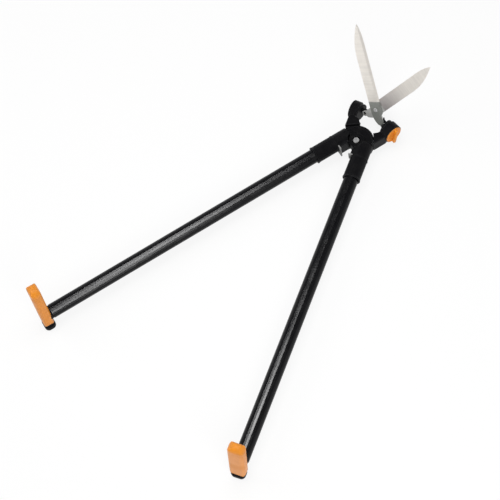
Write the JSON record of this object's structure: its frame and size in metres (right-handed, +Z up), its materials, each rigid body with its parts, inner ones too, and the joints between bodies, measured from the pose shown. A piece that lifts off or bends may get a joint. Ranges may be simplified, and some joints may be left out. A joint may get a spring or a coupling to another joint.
{
  "type": "grass shears",
  "caption": "Long-handled grass shears lying open: crossing plastic levers on a pivot bolt, black tubes, upright orange grips, and steel blades that tilt on swivel joints with a lock knob.",
  "frame": {"origin": "on the main pivot's axis, at the flat end of its cap nut, where the shears rest", "axes": "+Y towards the blades, midway between the handles; +Z up, along the main pivot's axis; +X towards the barrel with the lock knob"},
  "size_m": [0.569, 0.852, 0.2223],
  "materials": {
    "black_plastic": "satin moulded, slightly glossy on edges",
    "black_tube": "gloss black enamel",
    "orange_plastic": "satin moulded orange",
    "blade_steel": "ground and brushed, warm light grey",
    "bright_steel": "bright zinc or chrome plate",
    "plain_steel": "plain zinc plate",
    "brass": "turned",
    "slide_plastic": "natural slide plastic",
    "grey_rubber": "matt"
  },
  "bodies": {
    "left_handle": {"left_tube": "black_tube", "lower_lever": "black_plastic", "left_socket_screw": "bright_steel", "left_buffer": "grey_rubber", "left_grip_core": "black_plastic", "left_grip": "orange_plastic", "left_grip_screw": "plain_steel", "pivot_bolt": "bright_steel", "pivot_head_washer": "black_tube", "pivot_bush": "brass", "thrust_washer": "slide_plastic", "pivot_nut_washer": "plain_steel", "pivot_cap_nut": "bright_steel", "lock_pad": "slide_plastic"},
    "right_handle": {"right_tube": "black_tube", "upper_lever": "black_plastic", "right_socket_screw": "bright_steel", "right_buffer": "grey_rubber", "right_grip_core": "black_plastic", "right_grip": "orange_plastic", "right_grip_screw": "plain_steel", "left_seat_ring": "slide_plastic", "left_barrel_cap": "black_plastic"},
    "tilt_knob": {"tilt_knob": "orange_plastic", "lock_plug": "plain_steel"},
    "right_ring": {"right_swivel_ring": "brass"},
    "right_spindle": {"right_spindle": "black_plastic", "right_spindle_clip": "plain_steel", "front_tail_pin": "bright_steel"},
    "front_blade": {"front_blade": "blade_steel"},
    "rear_blade": {"rear_blade": "blade_steel", "blade_screw": "bright_steel", "blade_spring_washer": "plain_steel", "blade_lock_nut": "bright_steel"},
    "left_ring": {"left_swivel_ring": "brass"},
    "left_spindle": {"left_spindle": "black_plastic", "left_spindle_clip": "plain_steel", "rear_tail_pin": "bright_steel"}
  },
  "joints": [
    {"name": "handle_pivot", "type": "hinge", "parent": "left_handle", "child": "right_handle", "pos_m": [0, 0, 0.038], "axis": [0, 0, -1], "range_deg": [0, 28]},
    {"name": "right_ring_swivel", "type": "hinge", "parent": "left_handle", "child": "right_ring", "pos_m": [0.044, 0.0594, 0.038], "axis": [0, 0, -1], "range_deg": [0, 14]},
    {"name": "blade_tilt", "type": "hinge", "parent": "right_ring", "child": "right_spindle", "pos_m": [0.044, 0.0594, 0.038], "axis": [1, 0, 0], "range_deg": [-22, 23]},
    {"name": "front_tail_pivot", "type": "hinge", "parent": "right_spindle", "child": "front_blade", "pos_m": [0.025, 0.06138, 0.04259], "axis": [0, 0.9184, -0.3955], "range_deg": [0, 28]},
    {"name": "blade_pivot", "type": "hinge", "parent": "front_blade", "child": "rear_blade", "pos_m": [0, 0.07214, 0.06757], "axis": [0, -0.9184, 0.3955], "range_deg": [0, 56]},
    {"name": "left_ring_swivel", "type": "hinge", "parent": "right_handle", "child": "left_ring", "pos_m": [-0.044, 0.0594, 0.038], "axis": [0, 0, 1], "range_deg": [0, 14]},
    {"name": "left_blade_tilt", "type": "hinge", "parent": "left_ring", "child": "left_spindle", "pos_m": [-0.044, 0.0594, 0.038], "axis": [1, 0, 0], "range_deg": [-22, 23]},
    {"name": "knob_turn", "type": "hinge", "parent": "left_handle", "child": "tilt_knob", "pos_m": [0.044, 0.0594, 0.038], "axis": [0.9816, -0.1908, 0], "range_deg": [0, 90]}
  ],
  "couplings": [
    {"joint": "right_ring_swivel", "follows": "handle_pivot", "ratio": 0.5},
    {"joint": "left_ring_swivel", "follows": "handle_pivot", "ratio": 0.5},
    {"joint": "front_tail_pivot", "follows": "handle_pivot", "ratio": 1},
    {"joint": "blade_pivot", "follows": "handle_pivot", "ratio": 2},
    {"joint": "left_blade_tilt", "follows": "blade_tilt", "ratio": 1}
  ]
}
